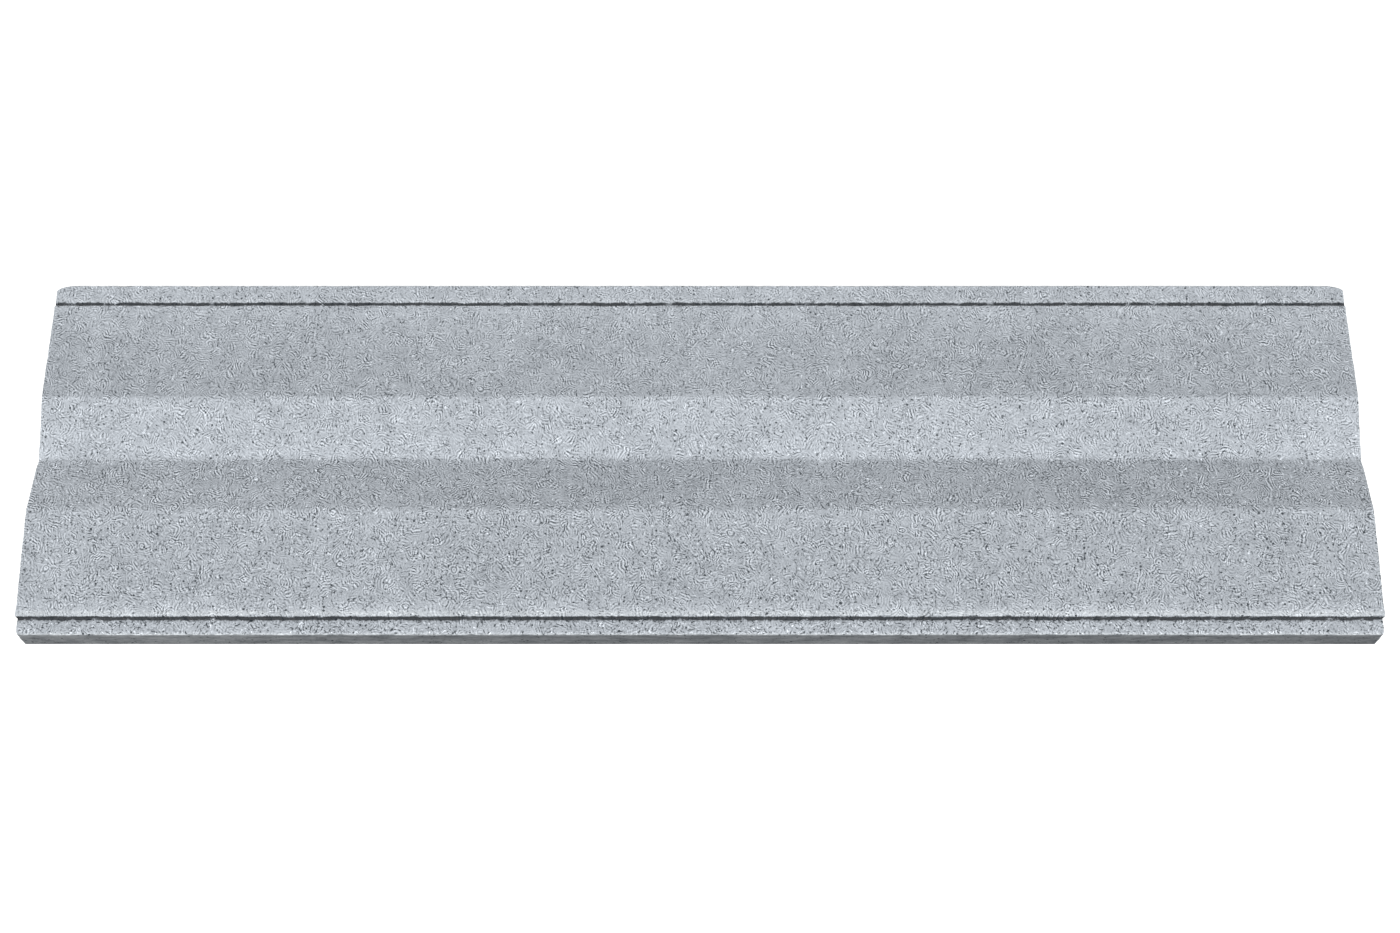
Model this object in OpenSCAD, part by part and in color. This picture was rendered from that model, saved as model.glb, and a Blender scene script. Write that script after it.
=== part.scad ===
// Wall coping: one cast slab that caps a masonry wall and sheds the rain.
// X runs along the wall, -Y is the front edge, +Z is up and the bed, on which the
// slab lies, is z = 0. The weathered top has two ridges with a channel between
// them. It stands up in a step behind a ledge along each edge, higher at the front
// than at the back, and a drip throat runs under each overhang.

/* [Slab] */
// Length along the wall
coping_length = 1000; // [300:10:1500]
// Width across the wall, from edge to edge
coping_width = 285; // [240:1:400]
// Height of the edge faces, from the bed up to the ledges
edge_height = 23; // [18:0.5:60]

/* [Ledges and steps] */
// Width of the ledge along the front edge
front_ledge = 12; // [6:0.5:25]
// Width of the ledge along the back edge
back_ledge = 18; // [6:0.5:25]
// Height of the step from the front ledge up to its lip
front_step = 7; // [2:0.5:15]
// Height of the step from the back ledge up to its lip
back_step = 2; // [1:0.5:15]
// Width of the level lip on top of each step
lip_width = 10; // [3:0.5:20]

/* [Ridges and channel] */
// Rise of each ridge above the lip on its own side
ridge_rise = 4; // [1:0.5:20]
// Distance from the channel to each ridge
ridge_offset = 46.5; // [30:0.5:70]
// Depth of the channel below the ledges
channel_drop = 5; // [1:0.5:10]
// Shift of the channel from the middle of the slab, towards the front if negative
channel_shift = -1.5; // [-10:0.5:10]

/* [Drip throats] */
// Radius of the half-round throats in the bed
throat_radius = 4.5; // [2:0.5:6]
// Distance from each edge face to the middle of its throat
throat_inset = 19; // [12:0.5:35]

/* [Rounded edges] */
// Radius of the arrises of the ledges and the lips
arris_radius = 1.5; // [0.5:0.1:4]
// Radius of the arrises round the bed
bed_arris_radius = 1; // [0.5:0.1:4]
// Radius in the foot of each step
foot_radius = 0.8; // [0.3:0.1:3]
// Radius of the ridges and of the channel
fold_radius = 8; // [2:0.5:30]
// Radius of the blend from each lip into its slope
lip_blend_radius = 60; // [5:5:200]
// Radius of the front corners, seen from above
front_corner = 2; // [0.5:0.5:15]
// Length of the eased back corners, along the wall
back_corner_length = 13; // [1:0.5:30]
// Depth of the eased back corners, across the wall
back_corner_depth = 4; // [1:0.5:15]

/* [Hidden] */
concrete_colour = "#b3b9bf";

half_length = coping_length / 2;
half_width = coping_width / 2;

// Heights above the bed, and the y of each line along the slab
ledge_z = edge_height;
front_lip_z = ledge_z + front_step;
back_lip_z = ledge_z + back_step;
channel_z = ledge_z - channel_drop;
front_step_y = -half_width + front_ledge;
back_step_y = half_width - back_ledge;
front_ridge_y = channel_shift - ridge_offset;
back_ridge_y = channel_shift + ridge_offset;
top_z = max(front_lip_z, back_lip_z) + ridge_rise;

// Each rounded corner is drawn with chords that turn by this many degrees
chord_turn = 9;
// A rounding takes at most this share of the shorter side beside its corner
rounding_share = 0.45;
// Cutters reach this far past the faces that they cut
overshoot = 1;

// Corners of the cross-section as [y, z, radius], from the front of the bed
// over the top to the back of the bed
section_corners = [
    [-half_width, 0, bed_arris_radius],
    [-half_width, ledge_z, arris_radius],
    [front_step_y, ledge_z, foot_radius],
    [front_step_y, front_lip_z, arris_radius],
    [front_step_y + lip_width, front_lip_z, lip_blend_radius],
    [front_ridge_y, front_lip_z + ridge_rise, fold_radius],
    [channel_shift, channel_z, fold_radius],
    [back_ridge_y, back_lip_z + ridge_rise, fold_radius],
    [back_step_y - lip_width, back_lip_z, lip_blend_radius],
    [back_step_y, back_lip_z, arris_radius],
    [back_step_y, ledge_z, foot_radius],
    [half_width, ledge_z, arris_radius],
    [half_width, 0, bed_arris_radius],
];

function point(corner) = [corner[0], corner[1]];
function unit(v) = v / norm(v);
// Signed turn from one bearing to another, between -180 and 180 degrees
function turn_between(from, to) = (to - from + 540) % 360 - 180;

// Points of the arc that rounds corner b between its neighbours a and c: the arc
// touches both sides at the same distance from b
function rounded_corner(a, b, c) =
    let (
        to_a = point(a) - point(b),
        to_c = point(c) - point(b),
        half_angle = acos(unit(to_a) * unit(to_c)) / 2,
        room = rounding_share * min(norm(to_a), norm(to_c)),
        radius = min(b[2], room * tan(half_angle)),
        centre = point(b) + unit(unit(to_a) + unit(to_c)) * radius / sin(half_angle),
        first = point(b) + unit(to_a) * radius / tan(half_angle) - centre,
        last = point(b) + unit(to_c) * radius / tan(half_angle) - centre,
        start = atan2(first[1], first[0]),
        sweep = turn_between(start, atan2(last[1], last[0])),
        chords = ceil(abs(sweep) / chord_turn)
    )
    [for (i = [0 : chords])
        centre + radius * [cos(start + sweep * i / chords), sin(start + sweep * i / chords)]];

// Outline through a ring of corners, each of them rounded by its own radius
function rounded_outline(corners) =
    let (count = len(corners))
    [for (i = [0 : count - 1])
        each rounded_corner(
            corners[(i + count - 1) % count], corners[i], corners[(i + 1) % count])];

// Quarter of an ellipse inside a corner of the plan; start is its first bearing
function eased_corner(x, y, length, depth, start) =
    [for (turn = [0 : chord_turn : 90])
        [x - sign(x) * length + length * cos(start + turn),
         y - sign(y) * depth + depth * sin(start + turn)]];

plan_outline = concat(
    eased_corner(half_length, -half_width, front_corner, front_corner, 270),
    eased_corner(half_length, half_width, back_corner_length, back_corner_depth, 0),
    eased_corner(-half_length, half_width, back_corner_length, back_corner_depth, 90),
    eased_corner(-half_length, -half_width, front_corner, front_corner, 180));

// Turns a shape drawn as [y, z] and extruded upwards to lie along X
module along_wall() {
    rotate([90, 0, 90]) children();
}

// The cast section, as long as the slab
module section_bar() {
    along_wall()
        linear_extrude(height = coping_length, center = true)
            polygon(rounded_outline(section_corners));
}

// Upright block with the slab's plan, which eases the corners of the bar
module plan_block() {
    translate([0, 0, -overshoot])
        linear_extrude(height = top_z + 2 * overshoot)
            polygon(plan_outline);
}

// Half-round groove in the bed, along the whole slab, that makes drips let go
module drip_throat(y) {
    translate([0, y, 0])
        along_wall()
            cylinder(r = throat_radius, h = coping_length + 2 * overshoot, center = true, $fn = 48);
}

module coping() {
    color(concrete_colour)
        difference() {
            intersection() {
                section_bar();
                plan_block();
            }
            for (side = [-1, 1]) drip_throat(side * (half_width - throat_inset));
        }
}

coping();
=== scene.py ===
# %% [markdown]
# # A precast concrete wall coping
# A coping is the slab that caps a garden or parapet wall and throws the rain clear of
# its faces. This one is a single casting, a metre long. Its weathered top has two ridges
# with a channel between them, there is a raised lip and a lower ledge along each edge,
# and a drip throat runs under each overhang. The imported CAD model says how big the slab
# is and where it lies. This lesson adds what a drawing leaves out: the slightly wavy
# cast faces, the crumbled arrises, the grime in the steps and the brushed skin.

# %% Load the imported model
import math

import bpy
import numpy as np
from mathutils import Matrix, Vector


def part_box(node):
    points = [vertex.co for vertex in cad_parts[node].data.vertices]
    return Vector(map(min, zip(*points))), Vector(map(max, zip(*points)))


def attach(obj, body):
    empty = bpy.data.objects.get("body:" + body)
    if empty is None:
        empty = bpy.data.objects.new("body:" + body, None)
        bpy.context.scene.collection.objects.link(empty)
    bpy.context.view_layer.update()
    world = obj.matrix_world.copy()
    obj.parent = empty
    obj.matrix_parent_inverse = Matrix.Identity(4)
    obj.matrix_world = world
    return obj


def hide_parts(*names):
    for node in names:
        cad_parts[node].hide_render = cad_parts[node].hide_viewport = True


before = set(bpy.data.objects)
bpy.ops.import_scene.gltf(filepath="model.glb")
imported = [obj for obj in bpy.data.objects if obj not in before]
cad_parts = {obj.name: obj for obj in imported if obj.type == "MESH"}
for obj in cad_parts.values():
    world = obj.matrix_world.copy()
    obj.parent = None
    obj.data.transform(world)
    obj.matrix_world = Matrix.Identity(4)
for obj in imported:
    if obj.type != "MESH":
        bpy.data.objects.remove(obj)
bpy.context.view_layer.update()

MILLIMETRE = 0.001
low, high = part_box("coping")
print("CAD box in mm:", [round(side / MILLIMETRE, 1) for side in (high - low)])

# %% [markdown]
# ## The camera
# A coping is shown best from above its front edge, so that the whole weathered top and
# a sliver of the front face are seen. The camera stands 1.72 m from the middle of the
# bed, on the front side, and looks at it from 68 degrees above the floor. Its aim lies a
# hair in front of the middle, which centres the slab in the view. A 58 mm lens at that
# distance keeps the taper of the ends mild. A Track To constraint could aim it, but the
# tilt follows from the elevation, so it is simply written down.

# %% Place the camera
camera_data = bpy.data.cameras.new("camera")
camera_data.sensor_width = 36.0
camera_data.lens = 58.12
camera_data.clip_end = 100.0
camera = bpy.data.objects.new("camera", camera_data)
bpy.context.scene.collection.objects.link(camera)
camera_distance, elevation = 1.7248, math.radians(67.67)
aim_y = -0.3 * MILLIMETRE
camera.location.y = aim_y - camera_distance * math.cos(elevation)
camera.location.z = camera_distance * math.sin(elevation)
camera.rotation_euler.x = math.pi / 2.0 - elevation
bpy.context.scene.camera = camera
print("camera", camera_distance, "m away, at", round(math.degrees(elevation), 2), "degrees")

# %% [markdown]
# ## Colours
# Paint charts and colour pickers give colours as sRGB hex values, but a shader works
# with linear light. One function turns the first into the second, so every colour in
# this lesson can be written as the value that a colour picker would show.


# %% Turn hex colours to linear ones
def linear(hex_colour):
    """Linear RGBA of an sRGB hex value: each channel is divided by 255, then divided by
    12.92 where it is at most 0.04045, and otherwise raised to 2.4 after adding 0.055
    and dividing by 1.055."""
    channels = np.array([int(hex_colour[i : i + 2], 16) for i in (1, 3, 5)]) / 255.0
    light = np.where(channels <= 0.04045, channels / 12.92, ((channels + 0.055) / 1.055) ** 2.4)
    return (*light.tolist(), 1.0)


print("mid grey is", round(linear("#808080")[0], 3), "in linear light")

# %% [markdown]
# ## One helper for shader nodes
# A material is a small network of nodes, and so is the world that surrounds the scene.
# The helper adds one node, sets its own settings, and fills its sockets: a socket of
# another node is linked, and anything else is written in as a plain value.


# %% Add a node
def add_node(tree, kind, settings=None, sockets=None):
    """Adds a node of a kind to a tree. settings are the node's own properties; sockets
    maps an input's name or number to a value, or to the output that feeds it."""
    node = tree.nodes.new(kind)
    for name, value in (settings or {}).items():
        setattr(node, name, value)
    for key, value in (sockets or {}).items():
        if isinstance(value, bpy.types.NodeSocket):
            tree.links.new(value, node.inputs[key])
        else:
            node.inputs[key].default_value = value
    return node


print("helper ready:", add_node.__name__)

# %% [markdown]
# ## The floor
# A slab of masonry is shown lying on a plain white board. The board here is large
# enough to fill every view, matt, and lit a little from within like a light table, so
# that it stays white wherever the lamp's shadow falls. It could also be a curved paper
# sweep, but a flat board shows plainly that the slab lies flat on its bed. It is kept
# out of bounced and mirrored light, so that its white doesn't wash out the edge faces.

# %% Make the floor
board_reach = 12.0
floor_mesh = bpy.data.meshes.new("floor")
floor_corners = board_reach * np.array([[-1, -1, 0], [1, -1, 0], [1, 1, 0], [-1, 1, 0]])
floor_mesh.from_pydata(floor_corners.tolist(), [], [(0, 1, 2, 3)])
floor_paint = bpy.data.materials.new("matt_white_painted_board")
floor_paint.use_nodes = True
floor_shader = floor_paint.node_tree.nodes["Principled BSDF"]
floor_shader.inputs["Base Color"].default_value = linear("#f4f4f4")
floor_shader.inputs["Roughness"].default_value = 1.0
floor_shader.inputs["Specular IOR Level"].default_value = 0.0
floor_shader.inputs["Emission Color"].default_value = linear("#ffffff")
floor_shader.inputs["Emission Strength"].default_value = 0.45
floor_mesh.materials.append(floor_paint)
floor = bpy.data.objects.new("floor", floor_mesh)
bpy.context.scene.collection.objects.link(floor)
floor.visible_diffuse = False
floor.visible_glossy = False
print("floor:", 2.0 * board_reach, "m square")

# %% [markdown]
# ## Lit walls
# In a white room pale light also comes in level, from the walls. The world stands in
# for them: its light is strong at the horizon and fades to a glimmer overhead. So the
# upright faces of the slab are lit from every side, while the top keeps the soft shade
# that tells one slope from the next. A world of one even grey would be simpler, but it
# would have to be dim to keep that shade, and then the edge faces would go dark.

# %% Light the walls
world = bpy.data.worlds.new("white_room")
world.use_nodes = True
horizon_glow, overhead_glow = 1.3, 0.12
# The glow has faded by this height, where 0 is level and 1 is straight up or down
fade_height = 0.25
direction = add_node(world.node_tree, "ShaderNodeTexCoord").outputs["Generated"]
upward = add_node(world.node_tree, "ShaderNodeSeparateXYZ", {}, {0: direction}).outputs["Z"]
above_or_below = add_node(
    world.node_tree, "ShaderNodeMath", {"operation": "ABSOLUTE"}, {0: upward}).outputs[0]
glow = add_node(world.node_tree, "ShaderNodeMapRange", {"interpolation_type": "SMOOTHSTEP"}, {
    "Value": above_or_below, "From Min": fade_height, "From Max": 0.0,
    "To Min": overhead_glow, "To Max": horizon_glow}).outputs[0]
background = world.node_tree.nodes["Background"]
background.inputs["Color"].default_value = linear("#ffffff")
world.node_tree.links.new(glow, background.inputs["Strength"])
bpy.context.scene.world = world
bpy.context.scene.view_settings.view_transform = "Standard"
print("walls glow", horizon_glow, "at the horizon and", overhead_glow, "overhead")

# %% [markdown]
# ## The lamp
# One broad lamp hangs overhead, a little to the front. A sun lamp with a wide disc gives
# the same even light along the whole metre of slab, and shadows with soft edges, as a
# large diffuser does. It leans 27 degrees to the front, so the slopes that face the
# front are brighter than those that fall away, and the shape of the top can be read.

# %% Hang the lamp
lamp_data = bpy.data.lights.new("broad_lamp", "SUN")
lamp_data.energy = 3.36
lamp_data.angle = math.radians(28.0)
lamp = bpy.data.objects.new("broad_lamp", lamp_data)
bpy.context.scene.collection.objects.link(lamp)
lamp_lean = 27.0
lamp.rotation_euler = (math.radians(lamp_lean), 0.0, 0.0)
print("lamp leans", lamp_lean, "degrees to the front")

# %% [markdown]
# ## The cast section
# The coping is the same all along its length, because it is cast in a long mould. Its
# section is a ring of thirteen corners: the bed, the upright edge faces, a ledge and a
# lip at each edge, and the two ridges with the channel between them. The CAD solid could
# be copied and subdivided, but a profile of its own gets its points just where the
# arrises need them. Its sizes follow from the box of the CAD model and a few widths and
# heights. Everything about the slab is worked out in millimetres and turned to metres
# once, at the end.

# %% Corners of the section
half_width = (high.y - low.y) / 2.0 / MILLIMETRE
half_length = (high.x - low.x) / 2.0 / MILLIMETRE
ledge_z, lip_width = 23.0, 10.0
front_ledge, back_ledge = 12.0, 18.0
front_step, back_step = 7.0, 2.0
front_step_y, back_step_y = -half_width + front_ledge, half_width - back_ledge
front_lip_z, back_lip_z = ledge_z + front_step, ledge_z + back_step
channel_y, ridge_offset = -1.5, 46.5
ridge_rise, channel_drop = 4.0, 5.0
# Each corner is y, z and the radius that rounds it; the lips run into long soft slopes
section_corners = np.array([
    [-half_width, 0.0, 0.3],
    [-half_width, ledge_z, 1.5],
    [front_step_y, ledge_z, 0.8],
    [front_step_y, front_lip_z, 1.5],
    [front_step_y + lip_width, front_lip_z, 60.0],
    [channel_y - ridge_offset, front_lip_z + ridge_rise, 8.0],
    [channel_y, ledge_z - channel_drop, 8.0],
    [channel_y + ridge_offset, back_lip_z + ridge_rise, 8.0],
    [back_step_y - lip_width, back_lip_z, 60.0],
    [back_step_y, back_lip_z, 1.5],
    [back_step_y, ledge_z, 0.8],
    [half_width, ledge_z, 0.7],
    [half_width, 0.0, 0.5],
])
print("section corners:", len(section_corners), "width", round(2.0 * half_width, 1), "mm")

# %% [markdown]
# ## Rounding the corners
# A mould has no knife edges, so each corner is a small arc. A Bevel modifier could round
# them, but it gives every edge one width. Here all the corners are rounded in one go,
# each by its own radius: the two directions to a corner's neighbours give the half
# angle between them, the half angle gives how far from the corner the arc begins, and
# the arc is laid out between those two points.


# %% Round the corners
def rounded_ring(corners, steps=25):
    """Points of a ring whose corners are rounded. At a corner with half angle h between
    its sides, an arc of radius r starts r / tan(h) along each side, and its centre lies
    r / sin(h) away along the bisector. The start may use 0.45 of the shorter side."""
    place, radius = corners[:, :2], corners[:, 2]
    back, ahead = np.roll(place, 1, 0) - place, np.roll(place, -1, 0) - place
    back_length, ahead_length = np.linalg.norm(back, axis=1), np.linalg.norm(ahead, axis=1)
    back, ahead = back / back_length[:, None], ahead / ahead_length[:, None]
    half = np.arccos(np.sum(back * ahead, 1)) / 2.0
    radius = np.minimum(radius, 0.45 * np.minimum(back_length, ahead_length) * np.tan(half))
    bisector = back + ahead
    bisector /= np.linalg.norm(bisector, axis=1)[:, None]
    centre = place + bisector * (radius / np.sin(half))[:, None]
    first = place + back * (radius / np.tan(half))[:, None] - centre
    last = place + ahead * (radius / np.tan(half))[:, None] - centre
    start = np.arctan2(first[:, 1], first[:, 0])
    turn = (np.arctan2(last[:, 1], last[:, 0]) - start + np.pi) % (2.0 * np.pi) - np.pi
    bearing = start[:, None] + turn[:, None] * np.linspace(0.0, 1.0, steps)
    arcs = np.stack([np.cos(bearing), np.sin(bearing)], 2) * radius[:, None, None]
    return (centre[:, None] + arcs).reshape(-1, 2)


rounded_section = rounded_ring(section_corners)
print("rounded section:", len(rounded_section), "points")

# %% [markdown]
# ## Drip throats
# Rain that runs down an edge face would creep back under the slab and into the wall. A
# half round groove under each overhang, a throat, breaks its path, and the water drops
# off. A boolean cut would do, but the throats run the whole length, so they are simply
# part of the section: from the back bed arris the ring follows the bed, arches over the
# back throat, crosses the bed, and arches over the front one.

# %% Add the throats to the ring
throat_radius, throat_inset = 4.5, 19.0
throat_y = half_width - throat_inset
throat_turn = np.linspace(0.0, np.pi, 33)
half_circle = throat_radius * np.stack([np.cos(throat_turn), np.sin(throat_turn)], 1)
outline = np.concatenate([
    rounded_section, half_circle + [throat_y, 0.0], half_circle - [throat_y, 0.0],
])
outline = np.concatenate([outline, outline[:1]])
step_lengths = np.linalg.norm(np.diff(outline, axis=0), axis=1)
run = np.concatenate([[0.0], np.cumsum(step_lengths)])
print("the section measures", round(run[-1], 1), "mm round")

# %% [markdown]
# ## Places round the section
# From here on a place on the section is known by its run: how far it lies round the
# ring from the start of the front bed arris. The arrises, the feet of the steps and the
# creases of the top are found once, by the corner that each belongs to, and then named.
# Their runs could be written down as numbers, but those would be wrong as soon as a size
# changed.


# %% Name the places
def run_at(y, z):
    """Distance round the section to the outline point nearest to (y, z)."""
    return run[np.argmin(np.hypot(outline[:, 0] - y, outline[:, 1] - z))]


front_bed_arris, back_bed_arris = run_at(-half_width, 0.0), run_at(half_width, 0.0)
front_ledge_arris, back_ledge_arris = run_at(-half_width, ledge_z), run_at(half_width, ledge_z)
front_foot, back_foot = run_at(front_step_y, ledge_z), run_at(back_step_y, ledge_z)
front_lip_arris = run_at(front_step_y, front_lip_z)
back_lip_arris = run_at(back_step_y, back_lip_z)
front_ridge = run_at(channel_y - ridge_offset, front_lip_z + ridge_rise)
channel = run_at(channel_y, ledge_z - channel_drop)
back_ridge = run_at(channel_y + ridge_offset, back_lip_z + ridge_rise)
throat_lips = [
    run_at(side * throat_y + lip, 0.0)
    for side in (-1, 1) for lip in (-throat_radius, throat_radius)
]
print("front ridge", round(front_ridge, 1), "mm, back ridge", round(back_ridge, 1), "mm round")

# %% [markdown]
# ## Where the mesh needs points
# Arrises and step feet turn within a millimetre, while the slopes between them are almost
# flat. An even grid fine enough for the arrises would have millions of faces. The ring is
# therefore resampled: each tight place asks for a spacing of its own, the spacing grows
# with the distance from it, and running totals of one over the spacing tell where the
# next point belongs. The same rule will serve the length, which is fine near its ends.


# %% Spread stations by the spacing they need
def spread(start, end, tight_places, coarsest, growth):
    """Stations from start to end. Each tight place comes with the spacing it asks for,
    which grows with the distance from it, and the smallest one counts, up to coarsest.
    The running total of one over the spacing is cut into equal parts, and each cut is
    read back as a place."""
    fine = np.linspace(start, end, 40001)
    places, finest = np.array(tight_places).T
    asked = finest + growth * np.abs(fine[:, None] - places)
    wanted = np.minimum(asked.min(1), coarsest)
    total = np.concatenate([[0.0], np.cumsum(np.diff(fine) / wanted[1:])])
    return np.interp(np.linspace(0.0, total[-1], int(total[-1]) + 2), total, fine)


arrises = [front_ledge_arris, front_lip_arris, back_lip_arris, back_ledge_arris]
spacings = [
    (0.45, arrises + [front_foot, back_foot]),
    (0.6, [front_bed_arris, back_bed_arris]),
    (1.0, [front_ridge, channel, back_ridge]),
    (1.2, throat_lips),
]
tight = [(place, spacing) for spacing, places in spacings for place in places]
ring = spread(0.0, run[-1], tight, coarsest=4.6, growth=0.25)[:-1]
section = np.stack([np.interp(ring, run, outline[:, k]) for k in (0, 1)], 1)
print("points round the section:", len(ring))

# %% [markdown]
# ## Which way is out
# Relief is pressed into a face along the direction that the face looks. A finished mesh
# could be asked for its normals, but here the relief comes before the mesh, so they are
# found from the ring: the line from the point before to the one after runs along the
# face, and a quarter turn of it points outwards.

# %% Outward directions round the section
along = np.roll(section, -1, 0) - np.roll(section, 1, 0)
along /= np.linalg.norm(along, axis=1)[:, None]
outward = np.stack([-along[:, 1], along[:, 0]], 1)
print("outward at the start of the ring:", np.round(outward[0], 2))

# %% [markdown]
# ## Rows along the length
# Both ends are plain, square faces with a small rounded arris. A Bevel modifier could
# round it, but its faces would lie unevenly where the section turns sharply. So each row
# near an end is the section drawn in by the drop of a quarter circle. Past the arris a
# few more rows shrink the section within the end face, so that the face has a flat
# border of its own and takes no shading from the arris. The middle of each end is one
# large flat face.

# %% Rows from end to end
end_arris = 0.9
body_end = half_length - end_arris
tight = [(-body_end, 0.45), (body_end, 0.45)]
body_rows = spread(-body_end, body_end, tight, coarsest=2.6, growth=0.14)
quarter = np.linspace(0.0, np.pi / 2.0, 5)[1:]
arris_x = body_end + end_arris * np.sin(quarter)
arris_drop = end_arris * (1.0 - np.cos(quarter))
cap_shrink = np.array([0.08, 0.22, 0.42])
cap_rows = len(cap_shrink)
cap_x, cap_drop = np.full(cap_rows, half_length), np.full(cap_rows, end_arris)
row_x = np.concatenate([-cap_x, -arris_x[::-1], body_rows, arris_x, cap_x])
row_drop = np.concatenate([
    cap_drop, arris_drop[::-1], np.zeros(len(body_rows)), arris_drop, cap_drop])
row_shrink = np.concatenate([cap_shrink[::-1], np.zeros(len(row_x) - 2 * cap_rows), cap_shrink])
row_from_end = half_length - np.abs(row_x)
print("rows along the slab:", len(row_x))

# %% [markdown]
# ## Random waves
# Concrete shrinks and its mould flexes, so no cast face is truly flat. Natural swells
# like these can be drawn with a Displace modifier and a cloud texture. Here they are
# sums of many cosine waves of random length, bearing and phase: smooth, never the same
# twice, sized in real millimetres, and worked out for all points of the slab at once.

# %% Wave fields over the skin
dice = np.random.default_rng(27)
x_grid = np.broadcast_to(row_x[:, None], (len(row_x), len(ring)))
ring_grid = np.broadcast_to(ring[None, :], x_grid.shape)


def waves(across, up, shortest, longest, count=40):
    """A smooth random field with mean 0 and spread 1 at the points (across, up): the sum
    of cosines whose wavelengths lie between shortest and longest, in millimetres, whose
    directions and phases are random, divided by the root of half their number."""
    length = np.exp(dice.uniform(np.log(shortest), np.log(longest), count))
    turn, phase = dice.uniform(0.0, 2.0 * np.pi, (2, count))
    field = np.zeros(np.broadcast(across, up).shape)
    for k in range(count):
        place = across * np.cos(turn[k]) + up * np.sin(turn[k])
        field += np.cos(2.0 * np.pi * place / length[k] + phase[k])
    return field / np.sqrt(count / 2.0)


swell_depth, ripple_depth = 0.16, 0.06
slow_swell = swell_depth * (1.0 + waves(x_grid, ring_grid, 70.0, 260.0) / 3.0)
ripple = ripple_depth * (1.0 + waves(x_grid, ring_grid, 9.0, 40.0, 60) / 3.0)
print("swells up to", round(slow_swell.max(), 2), "mm, ripples", round(ripple.max(), 2), "mm")

# %% [markdown]
# ## Waves in the cast faces
# The top was floated by hand and swells by a few tenths of a millimetre over a hand's
# width. The bed and the edge faces lay against the mould and are about a third as wavy.
# A Displace modifier would push the faces out as well as in. Here relief is only ever
# taken off, never added, so the slab keeps the size of its mould.

# %% Relief of the faces
on_top = (ring > front_ledge_arris) & (ring < back_ledge_arris)
wavy_share = np.where(on_top, 1.0, 0.35)
relief = (np.clip(slow_swell, 0.0, None) + np.clip(ripple, 0.0, None)) * wavy_share
print("relief of the faces goes", round(relief.max(), 2), "mm deep at most")

# %% [markdown]
# ## Crumbled arrises
# Green concrete loses crumbs from its arrises when it is struck from the mould, mostly
# as small flat bites with an occasional larger one. A sculpted edge would look as good
# but couldn't be changed later. Here the larger bites are the crests of one wave field,
# those that pass a threshold, and they are three times as long along the arris as across
# it. The small nibbles are another field, raised so far that only its deepest troughs
# leave the arris whole. A bell shaped band keeps both to the arris.


# %% Bite the arrises
def near(places, width):
    """1 on the ring points that lie at one of the places, falling off as a bell, e to
    the minus square of the gap over the width, in millimetres."""
    gap = np.abs(ring[:, None] - np.asarray(places)[None, :])
    gap = np.minimum(gap, run[-1] - gap).min(1)
    return np.exp(-((gap / width) ** 2))


threshold, crumb_depth, nibble_depth = 0.55, 0.6, 0.12
crumbs = np.clip(waves(x_grid, 3.0 * ring_grid, 5.0, 22.0, 70) - threshold, 0.0, None)
nibbles = np.clip(0.5 + 0.5 * waves(x_grid, ring_grid, 5.5, 14.0, 60), 0.0, None)
bite = crumb_depth * crumbs + nibble_depth * nibbles
relief = relief + near(arrises[:3], 1.6) * bite
relief = relief + near(arrises[3:], 1.2) * 0.5 * bite
relief = relief + near([back_bed_arris], 1.0) * 0.12 * crumbs
print("deepest bite:", round(relief.max(), 2), "mm")

# %% [markdown]
# ## Grooves at the step feet
# Where a step meets its ledge the float's edge has scored a narrow groove, 0.8 mm deep
# on average. It wanders in depth, and it holds the shadow that outlines the step. A
# painted line would do from straight above, but from low down it would look flat.

# %% Score the grooves
groove_depth = 0.8
groove = groove_depth * near([front_foot + 0.5], 1.0) + groove_depth * near([back_foot + 1.6], 1.1)
wander = 1.0 + 0.4 * waves(x_grid, ring_grid, 12.0, 60.0)
scored_groove = groove * np.clip(wander, 0.0, None)
relief = relief + scored_groove
print("deepest groove:", round(float(scored_groove.max()), 2), "mm")

# %% [markdown]
# ## Draw the section in at the ends
# The relief leads straight in from each face. The quarter circle of the end arris can't
# do the same: round a throat or a tight corner those directions cross, and the end face
# would fold over itself. So each row is drawn in towards a spine, a short level line
# inside the slab that every point of the section can see.


# %% Points of each row
def smooth_rise(value, start, end):
    """0 up to start, 1 from end, and three times the square less twice the cube of the
    way between them."""
    way = np.clip((value - start) / (end - start), 0.0, 1.0)
    return way * way * (3.0 - 2.0 * way)


spine_front, spine_back, spine_z = -half_width + 16.0, half_width - 18.0, 9.0
spine_y = np.clip(section[:, 0], spine_front, spine_back)
spine = np.stack([spine_y, np.full(len(ring), spine_z)], 1)
towards = spine - section
towards /= np.linalg.norm(towards, axis=1)[:, None]
relief = relief * (row_drop[:, None] < end_arris)
y = section[:, 0] + towards[:, 0] * row_drop[:, None] - outward[:, 0] * relief
z = section[:, 1] + towards[:, 1] * row_drop[:, None] - outward[:, 1] * relief
print("section drawn in by", end_arris, "mm at the ends")

# %% [markdown]
# ## Eased corners
# In plan the two back corners are eased, 14 mm along the slab and 4 mm across it, and
# the front ones are just taken off. A boolean could cut them, but it would break up the
# even rows of points, so the rows are bent instead. Only the outermost strip of an edge
# moves, more the closer it lies to the corner, so the lips and the throats stay straight.


# %% Ease the corners
def eased(from_end, length, depth, fullness):
    """How far an edge is drawn in at a distance from the slab's end: depth less the
    height of a rounded corner, length long and depth high, and 0 beyond it. A fullness
    of 2 gives a quarter ellipse, and one nearer 1 a flatter, more bevelled corner."""
    across = np.clip(1.0 - from_end / length, 0.0, 1.0)
    return depth * (1.0 - (1.0 - across**fullness) ** (1.0 / fullness))


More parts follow.
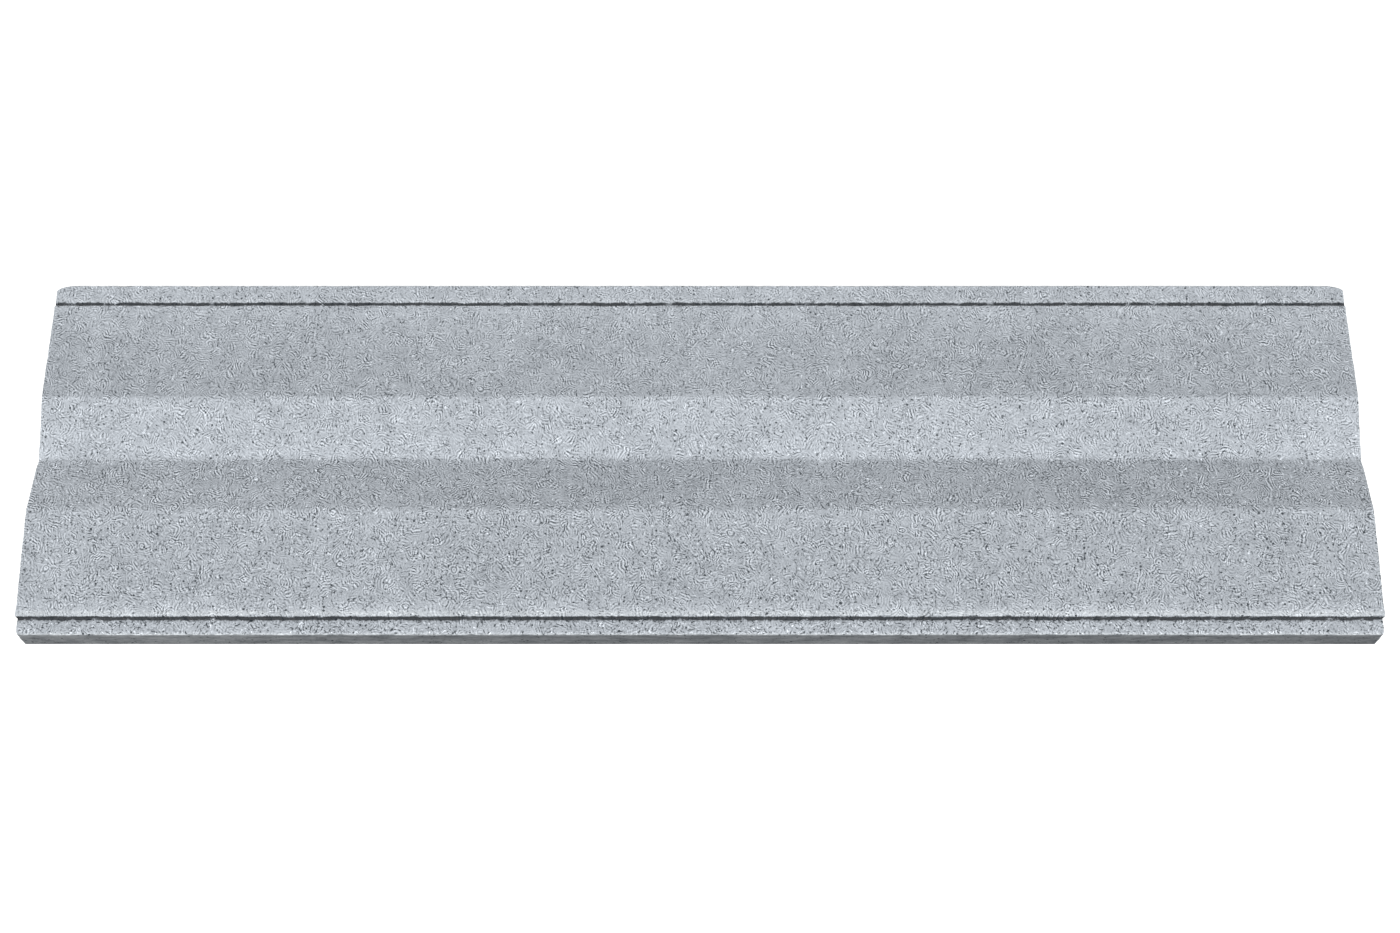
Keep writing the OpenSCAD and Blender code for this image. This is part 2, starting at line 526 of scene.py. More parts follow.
strip_inner, strip_outer = half_width - 13.5, half_width - 1.5
edge_strip = smooth_rise(np.abs(section[:, 0]), strip_inner, strip_outer)
back_edge, front_edge = edge_strip * (section[:, 0] > 0.0), edge_strip * (section[:, 0] < 0.0)
back_cut = eased(row_from_end, length=14.0, depth=4.0, fullness=1.55)[:, None] * back_edge
front_cut = eased(row_from_end, length=2.0, depth=2.0, fullness=2.0)[:, None] * front_edge
y = y - back_cut + front_cut
print("corners eased by", round(back_cut.max(), 2), "and", round(front_cut.max(), 2), "mm")

# %% [markdown]
# ## End faces
# The rows past the arris shrink towards the spine and lie in one plane. The end itself
# is wavy round its rim, up to half a millimetre, as concrete leaves a stop board. It
# could stay dead flat, but its rim would then look ruled. The wave dies out over the
# shrinking rows, so that the middle of the face is flat.

# %% Shape the end faces
y = y + row_shrink[:, None] * (spine[:, 0] - y)
z = z + row_shrink[:, None] * (spine[:, 1] - z)
rim_wave = np.clip(1.0 + waves(0.0 * ring_grid, ring_grid, 8.0, 50.0, 50) / 2.0, 0.0, None)
rim_wave = 1.0 + (rim_wave - 1.0) * (1.0 - row_shrink[:, None] / cap_shrink[-1])
end_share = smooth_rise(row_from_end, 7.0, 0.0)[:, None]
rim_depth = 0.22
x = x_grid - np.sign(x_grid) * rim_depth * rim_wave * end_share
points = MILLIMETRE * np.stack([x, y, z], 2).reshape(-1, 3)
print("points:", len(points), "from", points.min(0).round(4), "to", points.max(0).round(4), "m")

# %% [markdown]
# ## Join the points with faces
# The points form a grid: rows along the slab, stations round it. Each cell is a four
# sided face that joins a row to the next, and the ring closes on itself. The two ends
# are one many sided face each. All faces list their corners so that they look outwards.
# from_pydata would take them as lists, but whole arrays are quicker for this many.

# %% Faces of the slab
rows, round_count = x.shape
index = np.arange(rows * round_count).reshape(rows, round_count)
here, next_row = index[:-1], index[1:]
quads = np.stack([here, next_row, np.roll(next_row, -1, 1), np.roll(here, -1, 1)], 2).reshape(-1, 4)
loops = np.concatenate([quads.ravel(), index[0], index[-1][::-1]])
sizes = np.concatenate([np.full(len(quads), 4), [round_count, round_count]])
slab_mesh = bpy.data.meshes.new("cast_coping")
slab_mesh.vertices.add(len(points))
slab_mesh.vertices.foreach_set("co", points.ravel())
slab_mesh.loops.add(len(loops))
slab_mesh.loops.foreach_set("vertex_index", loops)
slab_mesh.polygons.add(len(sizes))
slab_mesh.polygons.foreach_set("loop_start", np.cumsum(sizes) - sizes)
slab_mesh.polygons.foreach_set("use_smooth", np.ones(len(sizes), bool))
slab_mesh.update(calc_edges=True)
repaired = slab_mesh.validate()
a, b, c = (points[quads[:, k]] for k in (0, 1, 2))
facing = "inside out" if np.sum(a * np.cross(b, c)) < 0.0 else "facing outwards"
triangles = int((sizes - 2).sum())
print(len(sizes), "faces,", triangles, "triangles,", facing, "repaired" if repaired else "sound")

# %% [markdown]
# ## A map of the skin
# The finish needs no map, because its patterns are laid out in space. But when the slab
# is passed on to a game or a web page, its look is painted into a picture, and a good
# map keeps that picture sharp. Automatic unwrapping would lay the metre of slab out
# whole. This map cuts it across the middle and lays the two halves one above the other,
# with four fifths of each strip's height for the faces that show and the rest for the
# bed. The end faces lie side by side in a strip of their own.

# %% Lay out the halves
border, ends_height, gap_height = 0.008, 0.062, 0.010
row_path = np.concatenate([[0.0], np.cumsum(np.hypot(np.diff(row_x), np.diff(row_drop)))])
middle = rows // 2
quad_row, quad_station = np.divmod(np.arange(len(quads)), round_count)
corner_path = row_path[quad_row[:, None] + np.array([0, 1, 1, 0])]
corner_run = np.append(ring, run[-1])[quad_station[:, None] + np.array([0, 0, 1, 1])]
right_half = (quad_row >= middle)[:, None]
half_path = np.where(right_half, corner_path - row_path[middle], corner_path)
half_path /= np.where(right_half, row_path[-1] - row_path[middle], row_path[middle])
strips_low = border + ends_height + gap_height
strip_height = (1.0 - border - gap_height - strips_low) / 2.0
strip_low = np.where(right_half, strips_low + strip_height + gap_height, strips_low)
strip_share = np.interp(corner_run, [0.0, back_bed_arris, run[-1]], [0.0, 0.8, 1.0])
skin_u = border + (1.0 - 2.0 * border) * half_path
skin_v = strip_low + strip_height * strip_share
print("each half of the slab is mapped", round(strip_height, 3), "high")

# %% Lay out the ends and store the map
end_scale = (0.5 - 2.0 * border) / (2.0 * half_width)
end_side = 0.5 * (loops // round_count > middle)
end_u = border + end_side + end_scale * (y.ravel()[loops] + half_width)
end_v = border + end_scale * z.ravel()[loops]
on_end = (quad_row < cap_rows) | (quad_row >= rows - 1 - cap_rows)
on_end = np.concatenate([np.repeat(on_end, 4), np.ones(2 * round_count, bool)])
filler = np.zeros(2 * round_count)
map_u = np.where(on_end, end_u, np.concatenate([skin_u.ravel(), filler]))
map_v = np.where(on_end, end_v, np.concatenate([skin_v.ravel(), filler]))
skin_map = slab_mesh.uv_layers.new(name="OFBake")
skin_map.data.foreach_set("uv", np.stack([map_u, map_v], 1).astype(np.float32).ravel())
print("map reaches", map_u.max().round(3), "across and", map_v.max().round(3), "up")

# %% [markdown]
# ## Marks for the finish
# The concrete's look changes from place to place. That could be painted on by hand, but
# all of the changes follow the shape. So they are worked out on the same grid as the
# points and stored on the mesh as named attributes, which the material reads. The first
# is wear: handling rubs the arrises pale, most of all the front lip, and the rims of the
# ends a little.

# %% Worn arrises
on_skin = row_shrink[:, None] == 0.0
past_lip = ring - front_lip_arris
# The front lip is rubbed from just below its arris, and that fades 2.8 to 4.8 mm past it
worn = smooth_rise(past_lip, 4.8, 2.8) * (past_lip > -0.5)
# Each rubbed place has a station on the ring, a strength and a width in millimetres
rubbed_places = [
    (front_ledge_arris, 0.85, 1.1),
    (back_lip_arris, 0.4, 1.0),
    (back_ledge_arris, 0.4, 1.0),
    (back_foot + 4.7, 0.35, 1.2),
    (back_bed_arris, 0.5, 1.0),
]
for station, strength, width in rubbed_places:
    worn = np.maximum(worn, strength * near([station], width))
end_worn = 0.6 * np.exp(-((row_from_end / 1.3) ** 2))[:, None]
worn_grid = np.maximum(worn[None, :], end_worn) * on_skin
print("worn:", round(100.0 * float((worn_grid > 0.3).mean())), "% of the points")

# %% [markdown]
# ## Grime in the steps
# The front riser, the foot of each step and a faint band beside it get a dark colour: that is painted
# shade where the step's corner lies in shadow, with some grime in it. A dark line along the front bed
# arris is a painted contact shadow. The dark lies thick in one spot and thin in the next. Ambient
# occlusion could find such hollows by itself, but it costs render time and gives every hollow the
# same darkness.

# %% Painted shade and grime
# Painted shade: dark over the front riser, in the step corners and beside them, with some grime, and
# a painted contact shadow on the front bed arris
shade_and_grime = smooth_rise(ring, front_foot + 8.2, front_foot + 2.0) * (ring > front_foot)
# Each of these has a station on the ring, a strength and a width in millimetres too
shaded_places = [
    (front_foot + 0.1, 1.0, 0.95),
    (front_foot - 1.2, 0.38, 2.0),
    (front_bed_arris, 0.5, 0.8),
    (back_foot + 1.9, 1.0, 1.4),
    (back_foot, 0.38, 2.0),
]
for station, strength, width in shaded_places:
    shade_and_grime = np.maximum(shade_and_grime, strength * near([station], width))
shade_unevenness = np.clip(1.0 + 0.18 * waves(x_grid, ring_grid, 4.0, 30.0), 0.7, None)
shade_and_grime_grid = shade_and_grime[None, :] * shade_unevenness * on_skin
# Share of the points under painted shade and grime
print("grime:", round(100.0 * float((shade_and_grime_grid > 0.3).mean())), "% of the points")

# %% [markdown]
# ## Moulded and brushed faces
# The bed, the edge faces and the ends were cast against the mould and came out smooth.
# The front face gets a far darker colour: that is painted shade, since the lamp alone would leave it
# brighter. The other moulded faces take a quarter of that colour. The top was brushed while it was
# green. The brush bit a little harder on the slope behind the front ridge, and on the front ledge it
# left fewer but deeper marks, so the fine hatching and the deeper scores each get a strength of their
# own. On the slopes that fall to the back the float closed most of the air bubbles, so these are less
# pitted. Each face could have a material, but this is a single casting, and one material that reads
# its marks keeps the pattern whole across the creases.


# %% Finish of each face
def graded(knots):
    """A value for every ring point, changing evenly between knots of run and value."""
    places, values = np.array(knots).T
    return np.interp(ring, places, values)


moulded_grid = np.where(on_skin & on_top[None, :], 0.0, 1.0)
# Share of the dark front colour: 1 on the front face, where it is painted shade, and a quarter on the
# other moulded faces
front_shade_share_grid = moulded_grid * np.where(on_skin & (ring < front_ledge_arris)[None, :], 1.0, 0.25)
brushed = graded([
    [front_ridge - 2.0, 0.98], [front_ridge + 2.0, 1.11], [channel - 2.0, 1.11],
    [channel + 2.0, 0.84], [back_ridge - 2.0, 0.84], [back_ridge + 2.0, 0.94],
    [back_lip_arris - 30.0, 0.95], [back_lip_arris, 0.80],
])
brushed = brushed * np.where(ring < front_foot, 1.35, 1.0)
fine_share = graded([
    [front_foot, 0.5], [front_lip_arris, 0.8], [front_lip_arris + 10.0, 0.85],
    [front_lip_arris + 20.0, 1.0],
])
scored_grid = brushed[None, :] * (1.0 - moulded_grid) * (1.0 - 0.3 * worn_grid)
hatched_grid = scored_grid * fine_share[None, :]
pitted = graded([
    [front_ridge - 2.0, 1.0], [front_ridge + 2.0, 0.4], [channel - 2.0, 0.4],
    [channel + 2.0, 0.9], [back_ridge - 2.0, 0.9], [back_ridge + 2.0, 0.4],
    [back_lip_arris - 30.0, 0.4], [back_lip_arris, 0.8],
])
pitted_grid = np.broadcast_to(pitted[None, :], x_grid.shape)
print("scores up to", scored_grid.max().round(2), "hatching up to", hatched_grid.max().round(2))

# %% [markdown]
# ## Painted light and shade on the slopes
# The colour is scaled place by place round the section: that is painted light and shade. The ledges,
# the lips and the slope that climbs to the back ridge, which faces the lamp, are ten to twenty per
# cent paler, and the slope behind that ridge stays darker. The creases get a thin painted highlight
# and shade, and a painted highlight runs just past the front lip's arris. A gradient texture could
# fade the slab from one side to the other, but these steps follow the section, so they are set by
# knots round the ring. The slab is also painted a little paler towards its left end, most of all on
# the moulded faces, and that is painted light too.

# %% Painted light and shade round the section
# Painted light and shade: each slope is made paler or darker as it faces the lamp
painted_light = graded([
    [front_ledge_arris, 1.14], [front_foot, 1.14], [front_lip_arris, 1.06],
    [front_lip_arris + 4.0, 1.21], [front_lip_arris + 14.0, 1.01],
    [front_ridge - 20.0, 1.01], [front_ridge - 1.5, 1.07], [front_ridge, 1.02],
    [front_ridge + 1.5, 1.03], [channel - 1.5, 1.04], [channel + 1.5, 1.165],
    [back_ridge - 25.0, 1.11], [back_ridge - 1.5, 1.12], [back_ridge + 1.5, 0.95],
    [back_ridge + 40.0, 0.98], [back_lip_arris, 1.10], [back_ledge_arris, 1.11],
])
# Painted light: a little paler towards the left end, most of all on the moulded faces and in the
# front valley
in_front_valley = (ring > front_ridge) & (ring < channel)
left_light = 0.02 + 0.07 * in_front_valley[None, :] + 0.28 * moulded_grid
towards_left = smooth_rise(x_grid, -0.2 * half_length, -half_length)
painted_light_grid = painted_light[None, :] * (1.0 + towards_left * left_light)
print("palest", round(float(painted_light_grid.max()), 2), "darkest", round(float(painted_light_grid.min()), 2))

# %% Store the marks
marks = {
    "worn": worn_grid, "shade_and_grime": shade_and_grime_grid, "moulded": moulded_grid, "front_shade_share": front_shade_share_grid,
    "hatched": hatched_grid, "scored": scored_grid, "pitted": pitted_grid,
    "painted_light": painted_light_grid,
}
for name, values in marks.items():
    layer = slab_mesh.attributes.new(name, "FLOAT", "POINT")
    layer.data.foreach_set("value", np.ascontiguousarray(values, np.float32).ravel())
print("stored on the mesh:", ", ".join(marks))

# %% [markdown]
# ## Cast concrete
# The material is grey Portland cement concrete, cast, and brushed on top while green.
# Hardened cement paste is a matt mineral: its index of refraction is about 1.5, and its
# roughness about 0.9 leaves no mirror glint, only a faint sheen at low angles. A scanned
# concrete texture could be wrapped round it, but it would stretch on the edges and would
# need a file. What the eye reads as concrete is its texture, and each part of that is a
# pattern of its own: fine curled hatching, deeper broken scores, pale crumbs, clouds and
# pinholes. Each one is added to a single number, the tone, where 1 is plain paste. Some
# of them also go into the relief.

# %% Start the material
concrete = bpy.data.materials.new("cast_concrete_brushed_while_green")
concrete.use_nodes = True
tree = concrete.node_tree
shader = tree.nodes["Principled BSDF"]
shader.inputs["IOR"].default_value = 1.5
shader.inputs["Roughness"].default_value = 0.9
place = add_node(tree, "ShaderNodeTexCoord").outputs["Object"]
# Turned to millimetres, so that each pattern's scale is one over a real size
in_mm = add_node(tree, "ShaderNodeMapping", {}, {
    "Vector": place, "Scale": (1.0 / MILLIMETRE,) * 3}).outputs[0]
mark = {
    name: add_node(tree, "ShaderNodeAttribute", {"attribute_name": name}).outputs["Fac"]
    for name in marks
}
tone_layers, relief_layers = [], []
print("material", concrete.name, "reads", ", ".join(mark))

# %% [markdown]
# ## Dabs of the brush
# A stiff hand brush, dabbed and twisted on green concrete, leaves little groups of side
# by side strokes, each group with its own bearing and curl. A Noise Texture would give
# blots without strokes, and a Wave Texture strokes of one bearing only. So a Voronoi
# texture first cuts the face into cells, one for each dab. Its coordinates are pushed
# about by a noise, which keeps the borders of the dabs from being straight.


# %% Cut the face into dabs
def dabs(offset, cell):
    """Cuts the face into dabs about as large as cell, in millimetres. Gives three random
    numbers for each dab, the way to a point from the middle of its dab, in millimetres,
    and the length of that way as a share of cell."""
    moved = add_node(tree, "ShaderNodeMapping", {}, {
        "Vector": in_mm, "Location": offset}).outputs[0]
    push = add_node(tree, "ShaderNodeTexNoise", {"noise_dimensions": "2D"}, {
        "Vector": moved, "Scale": 1.0 / cell, "Detail": 0.0}).outputs["Color"]
    bent = add_node(tree, "ShaderNodeVectorMath", {"operation": "MULTIPLY_ADD"}, {
        0: push, 1: (0.5 * cell,) * 3, 2: moved}).outputs[0]
    cells = add_node(tree, "ShaderNodeTexVoronoi", {"voronoi_dimensions": "2D"}, {
        "Vector": bent, "Scale": 1.0 / cell})
    chance = add_node(tree, "ShaderNodeSeparateColor", {}, {0: cells.outputs["Color"]})
    from_middle = add_node(tree, "ShaderNodeVectorMath", {"operation": "SUBTRACT"}, {
        0: bent, 1: cells.outputs["Position"]}).outputs[0]
    return chance.outputs, from_middle, cells.outputs["Distance"]


print("helper ready:", dabs.__name__)

# %% [markdown]
# ## Curled strokes
# Inside a dab the strokes are a plain stripe pattern that is turned and bent. The first
# random number of the dab gives the bearing, the second the curl, and the third how
# hard the brush was pressed. Stripes that are bent into a parabola look like the arc of
# a turning wrist, and a few dabs have closed rings, where the brush was spun in place.


# %% Draw curled strokes
def curled_strokes(offset, cell, pitch, bend, strength):
    """Strokes that lie a pitch apart in each dab. They follow v + k u u, where u runs
    along them from the middle of the dab, v across them, and k, at most bend, curls
    them. One dab in five has rings about its middle instead. Gives how far a point lies
    from the nearest stroke, in millimetres, and how deep the stroke is there: it fades
    towards the edge of the dab."""
    chance, from_middle, distance = dabs(offset, cell)
    bearing = add_node(tree, "ShaderNodeMath", {"operation": "MULTIPLY"}, {
        0: chance[0], 1: 2.0 * math.pi}).outputs[0]
    turned = add_node(tree, "ShaderNodeVectorRotate", {"rotation_type": "Z_AXIS"}, {
        "Vector": from_middle, "Angle": bearing}).outputs[0]
    u_v = add_node(tree, "ShaderNodeSeparateXYZ", {}, {0: turned}).outputs
    u_squared = add_node(tree, "ShaderNodeMath", {"operation": "MULTIPLY"}, {
        0: u_v[0], 1: u_v[0]}).outputs[0]
    curl = add_node(tree, "ShaderNodeMapRange", {}, {
        "Value": chance[1], "To Min": -bend, "To Max": bend}).outputs[0]
    curved = add_node(tree, "ShaderNodeMath", {"operation": "MULTIPLY_ADD"}, {
        0: u_squared, 1: curl, 2: u_v[1]}).outputs[0]
    ring_radius = add_node(tree, "ShaderNodeMath", {"operation": "MULTIPLY"}, {
        0: distance, 1: cell}).outputs[0]
    spun = add_node(tree, "ShaderNodeMath", {"operation": "GREATER_THAN"}, {
        0: chance[0], 1: 0.8}).outputs[0]
    across = add_node(tree, "ShaderNodeMix", {"data_type": "FLOAT"}, {
        0: spun, 2: curved, 3: ring_radius}).outputs[0]
    away = add_node(tree, "ShaderNodeMath", {"operation": "PINGPONG"}, {
        0: across, 1: pitch / 2.0}).outputs[0]
    depth = add_node(tree, "ShaderNodeMapRange", {"interpolation_type": "SMOOTHSTEP"}, {
        "Value": distance, "From Min": 0.80, "From Max": 0.42}).outputs[0]
    pressed = add_node(tree, "ShaderNodeMapRange", {}, {
        "Value": chance[2], "To Min": 0.05, "To Max": 1.5}).outputs[0]
    for share in (pressed, strength):
        depth = add_node(tree, "ShaderNodeMath", {"operation": "MULTIPLY"}, {
            0: depth, 1: share}).outputs[0]
    return away, depth


print("helper ready:", curled_strokes.__name__)

# %% [markdown]
# ## Fine hatching
# Three brushings lie over one another, with strokes 2.5, 2.1 and 1.85 mm apart: the
# tufts of a stiff brush stand that close. Each swings the tone evenly between dark
# hollows and pale ridges. The hand bore down harder in some spots than in others, so a
# noise with spots of about a centimetre makes the hatching calmer here and busier there.
# The strokes could be relief as well, but they are too shallow to throw a shadow, and
# leaving them out of it saves render time.

# %% Three brushings
spot_size = 10.0
hand = add_node(tree, "ShaderNodeTexNoise", {"noise_dimensions": "2D"}, {
    "Vector": in_mm, "Scale": 1.0 / spot_size, "Detail": 0.0}).outputs["Fac"]
bearing_down = add_node(tree, "ShaderNodeMapRange", {}, {
    "Value": hand, "From Min": 0.3, "From Max": 0.7, "To Min": 0.62, "To Max": 1.38}).outputs[0]
hatching = add_node(tree, "ShaderNodeMath", {"operation": "MULTIPLY"}, {
    0: bearing_down, 1: mark["hatched"]}).outputs[0]
# Each has an offset, a cell size and a pitch, all in millimetres, a bend and an amount
brushings = [
    ((0.0, 0.0, 0.0), 8.5, 2.5, 0.08, 0.20),
    ((731.0, 412.0, 0.0), 7.0, 2.1, 0.12, 0.39),
    ((-388.0, 957.0, 0.0), 6.0, 1.85, 0.12, 0.37),
]
for offset, cell, pitch, bend, amount in brushings:
    away, depth = curled_strokes(offset, cell, pitch, bend, hatching)
    swing = add_node(tree, "ShaderNodeMapRange", {}, {
        "Value": away, "From Max": pitch / 2.0, "To Min": -1.0, "To Max": 1.0}).outputs[0]
    hatch = add_node(tree, "ShaderNodeMath", {"operation": "MULTIPLY"}, {
        0: swing, 1: depth}).outputs[0]
    tone_layers.append((hatch, amount))
print("tone layers:", len(tone_layers))

# %% [markdown]
# ## Scores and crumbs
# Some bristles cut deeper. They leave thin dark lines that break off and start again,
# and half way between two lines the paste that they threw up dries as pale crumbs. Cut
# into the mesh they would take millions of points, so they are drawn. One noise decides
# both: a line is there where the noise is high, and crumbs where it is low, so the two
# never crowd the same spot.

# %% Two scorings
# Each has an offset, a cell size, a pitch, a bend and the size of its breaks
scorings = [
    ((211.0, -645.0, 0.0), 6.5, 3.5, 0.12, 3.3),
    ((-530.0, -118.0, 0.0), 5.0, 2.5, 0.16, 2.4),
]
for offset, cell, pitch, bend, break_size in scorings:
    away, depth = curled_strokes(offset, cell, pitch, bend, mark["scored"])
    bristle = add_node(tree, "ShaderNodeTexNoise", {"noise_dimensions": "2D"}, {
        "Vector": in_mm, "Scale": 1.0 / break_size, "Detail": 0.0}).outputs["Fac"]
    cutting = add_node(tree, "ShaderNodeMapRange", {"interpolation_type": "SMOOTHSTEP"}, {
        "Value": bristle, "From Min": 0.50, "From Max": 0.60}).outputs[0]
    line = add_node(tree, "ShaderNodeMapRange", {}, {
        "Value": away, "From Min": 0.42, "From Max": 0.16}).outputs[0]
    throwing = add_node(tree, "ShaderNodeMapRange", {"interpolation_type": "SMOOTHSTEP"}, {
        "Value": bristle, "From Min": 0.33, "From Max": 0.25}).outputs[0]
    between = add_node(tree, "ShaderNodeMapRange", {}, {
        "Value": away, "From Min": pitch / 2.0 - 0.52, "From Max": pitch / 2.0 - 0.22}).outputs[0]
    for shape, chosen, tone_amount, relief_amount in (
            (line, cutting, -0.55, -2.0), (between, throwing, 0.72, 1.7)):
        band = add_node(tree, "ShaderNodeMath", {"operation": "MULTIPLY"}, {
            0: shape, 1: depth}).outputs[0]
        broken = add_node(tree, "ShaderNodeMath", {"operation": "MULTIPLY"}, {
            0: band, 1: chosen}).outputs[0]
        tone_layers.append((broken, tone_amount))
        relief_layers.append((broken, relief_amount))
print("tone layers:", len(tone_layers), "relief layers:", len(relief_layers))

# %% [markdown]
# ## Clouds
# Paste is never mixed quite evenly. Broad clouds half a hand across come from uneven
# drying, blots of about a centimetre from the float, and a fine mottle from the grains
# of sharp sand, 1.3 mm on average. They could be painted, but noise textures are just
# right for them, because they have no direction and never repeat.

# %% Three sizes of cloud
for size, detail, amount in ((55.0, 3.0, 0.30), (11.0, 2.0, 0.52), (1.3, 1.0, 0.55)):
    clouds = add_node(tree, "ShaderNodeTexNoise", {}, {
        "Vector": in_mm, "Scale": 1.0 / size, "Detail": detail, "Roughness": 0.6}).outputs["Fac"]
    centred = add_node(tree, "ShaderNodeMapRange", {}, {
        "Value": clouds, "To Min": -0.5, "To Max": 0.5}).outputs[0]
    tone_layers.append((centred, amount))
print("tone layers:", len(tone_layers))

# %% [markdown]
# ## Streaks on the mould faces
# The faces that were cast against the mould weren't brushed. They show streaks along the
# slab instead, where the release oil was wiped on. A Wave Texture would draw them like
# ruled bands, so they are a noise that is stretched to about three times its height
# along the slab. It shows on the moulded faces only.

# %% Wiped streaks
stretched = add_node(tree, "ShaderNodeMapping", {}, {
    "Vector": in_mm, "Scale": (0.3, 1.0, 1.0)}).outputs[0]
streak_height, noise_mean = 5.0, 0.48
streaks = add_node(tree, "ShaderNodeTexNoise", {}, {
    "Vector": stretched, "Scale": 1.0 / streak_height,
    "Detail": 3.0, "Roughness": 0.7}).outputs["Fac"]
centred = add_node(tree, "ShaderNodeMath", {"operation": "SUBTRACT"}, {
    0: streaks, 1: noise_mean}).outputs[0]
wiped = add_node(tree, "ShaderNodeMath", {"operation": "MULTIPLY"}, {
    0: centred, 1: mark["moulded"]}).outputs[0]
tone_layers.append((wiped, 2.2))
print("tone layers:", len(tone_layers))

# %% [markdown]
# ## Pinholes
# Air bubbles leave round pinholes, most of them less than a millimetre across, and here
# and there one of nearly two. Noise with a threshold would leave ragged blots, so each
# size has a Voronoi texture, which puts one bubble into each of its cells, and the
# cell's random colour says how large it is. The bubbles are scattered through the
# concrete, so the surface cuts only some of them open. A hole's wall slopes in over a
# rim about 0.2 mm wide.

# %% Air holes
rim = 0.216
# Each size has a cell, a smallest and a largest radius, all in mm, and an amount
for cell, smallest, largest, amount in ((2.7, 0.14, 0.81, -0.5), (4.5, 0.35, 1.02, -0.9)):
    bubbles = add_node(tree, "ShaderNodeTexVoronoi", {}, {"Vector": in_mm, "Scale": 1.0 / cell})
    luck = add_node(tree, "ShaderNodeSeparateColor", {}, {0: bubbles.outputs["Color"]}).outputs[0]
    hole_radius = add_node(tree, "ShaderNodeMapRange", {}, {
        "Value": luck, "From Min": 0.2,
        "To Min": smallest / cell, "To Max": largest / cell}).outputs[0]
    inside = add_node(tree, "ShaderNodeMath", {"operation": "SUBTRACT"}, {
        0: hole_radius, 1: bubbles.outputs["Distance"]}).outputs[0]
    pinholes = add_node(tree, "ShaderNodeMapRange", {}, {
        "Value": inside, "From Max": rim / cell, "To Max": mark["pitted"]}).outputs[0]
    tone_layers.append((pinholes, amount))
    relief_layers.append((pinholes, -4.0))
print("tone layers:", len(tone_layers), "relief layers:", len(relief_layers))

# %% [markdown]
# ## Base colours
# Plain paste is a bluish grey. The front face gets a far darker grey: that is painted shade, and the
# other moulded faces take a quarter of it. Rubbed arrises are paler. The corners of the steps are
# nearly black with painted shade and some grime, and so is the front bed arris, with a painted
# contact shadow. A ragged noise breaks up both the wear and the painted shade, so that neither has a
# clean edge: it scales the wear, and it is added to the painted shade before a threshold, so the
# middle of a dark line stays whole while its edges fray.

# %% Wear and grime over the paste
fray_size = 3.0
ragged = add_node(tree, "ShaderNodeTexNoise", {}, {
    "Vector": in_mm, "Scale": 1.0 / fray_size, "Detail": 2.0, "Roughness": 0.7}).outputs["Fac"]
patchy = add_node(tree, "ShaderNodeMapRange", {}, {
    "Value": ragged, "From Min": 0.36, "From Max": 0.60, "To Min": 0.2, "To Max": 0.95}).outputs[0]
rubbed = add_node(tree, "ShaderNodeMath", {"operation": "MULTIPLY"}, {
    0: patchy, 1: mark["worn"]}).outputs[0]
frayed = add_node(tree, "ShaderNodeMath", {"operation": "MULTIPLY_ADD"}, {
    0: ragged, 1: 1.1, 2: mark["shade_and_grime"]}).outputs[0]
shaded_and_grimy = add_node(tree, "ShaderNodeMapRange", {"interpolation_type": "SMOOTHSTEP"}, {
    "Value": frayed, "From Min": 0.80, "From Max": 1.35}).outputs[0]
colour = linear("#a7abb0")
# Coats: #6d6e6f is painted shade on the front face, #bec2c5 is wear, and #363331 is painted shade
# with some grime in the step corners, plus a painted contact shadow on the front bed arris
coats = ((mark["front_shade_share"], "#6d6e6f"), (rubbed, "#bec2c5"), (shaded_and_grimy, "#363331"))
for share, hex_colour in coats:
    colour = add_node(tree, "ShaderNodeMix", {"data_type": "RGBA"}, {
        0: share, 6: colour, 7: linear(hex_colour)}).outputs[2]
print("coats over the paste:", len(coats))

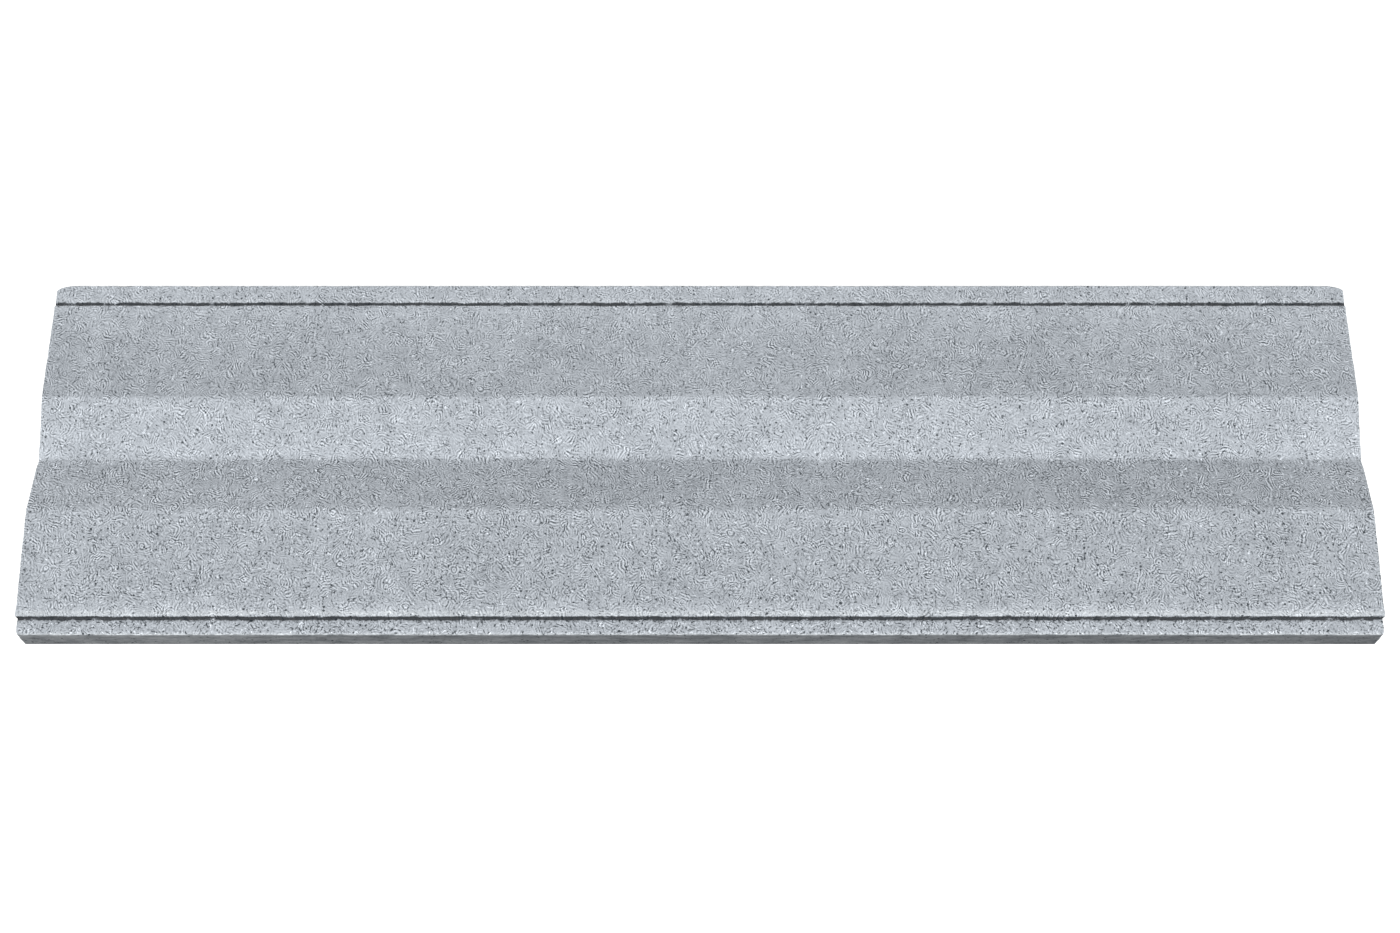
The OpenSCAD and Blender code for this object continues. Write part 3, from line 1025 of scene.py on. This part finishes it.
# %% [markdown]
# ## Tone
# The layers are now added up, each by its amount, starting from plain paste. A floor of 0.15 keeps
# the deepest hollow from going black, and the painted light and shade of each place scales the sum.
# The tone multiplies the colour. Then a constant breath of blue is added, because cement's blue tint
# is as strong in its dark marks as in its light ones, while multiplying alone would leave the dark
# marks looking brown.

# %% Colour the skin
tone_floor = 0.15
tone = 1.0
for layer, amount in tone_layers:
    tone = add_node(tree, "ShaderNodeMath", {"operation": "MULTIPLY_ADD"}, {
        0: layer, 1: amount, 2: tone}).outputs[0]
lit_tone = add_node(tree, "ShaderNodeMath", {"operation": "MAXIMUM"}, {
    0: tone, 1: tone_floor}).outputs[0]
# The painted light and shade of each place scales the tone
lit_tone = add_node(tree, "ShaderNodeMath", {"operation": "MULTIPLY"}, {
    0: lit_tone, 1: mark["painted_light"]}).outputs[0]
skin = add_node(tree, "ShaderNodeVectorMath", {"operation": "MULTIPLY_ADD"}, {
    0: colour, 1: lit_tone, 2: linear("#001824")[:3]}).outputs[0]
tree.links.new(skin, shader.inputs["Base Color"])
print("added up", len(tone_layers), "tone layers")

# %% [markdown]
# ## Relief of the skin
# Scores, crumbs and pinholes are a few tenths of a millimetre deep. Displacement could
# carve them, but they are too fine for the mesh, whose points lie a few millimetres
# apart, so they are left to a Bump node. One unit of the summed height is a tenth of a
# millimetre.

# %% Raise the skin
height = 0.0
for layer, amount in relief_layers:
    height = add_node(tree, "ShaderNodeMath", {"operation": "MULTIPLY_ADD"}, {
        0: layer, 1: amount, 2: height}).outputs[0]
bump = add_node(tree, "ShaderNodeBump", {}, {
    "Height": height, "Distance": 0.1 * MILLIMETRE, "Strength": 1.0}).outputs[0]
tree.links.new(bump, shader.inputs["Normal"])
print("added up", len(relief_layers), "relief layers in", len(tree.nodes), "nodes")

# %% [markdown]
# ## Put the slab in the scene
# The finished mesh stands in for the plain CAD solid, which stays hidden for collision.
# It rides on the one body of the model and takes the concrete finish. It could be parented by hand;
# here a helper makes the empty that stands for that body and parents the mesh to it.

# %% Attach the slab
slab_mesh.materials.append(concrete)
slab = bpy.data.objects.new("cast_coping", slab_mesh)
bpy.context.scene.collection.objects.link(slab)
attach(slab, "root")
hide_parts("coping")
print("attached", slab.name, "with", len(slab_mesh.polygons), "faces")
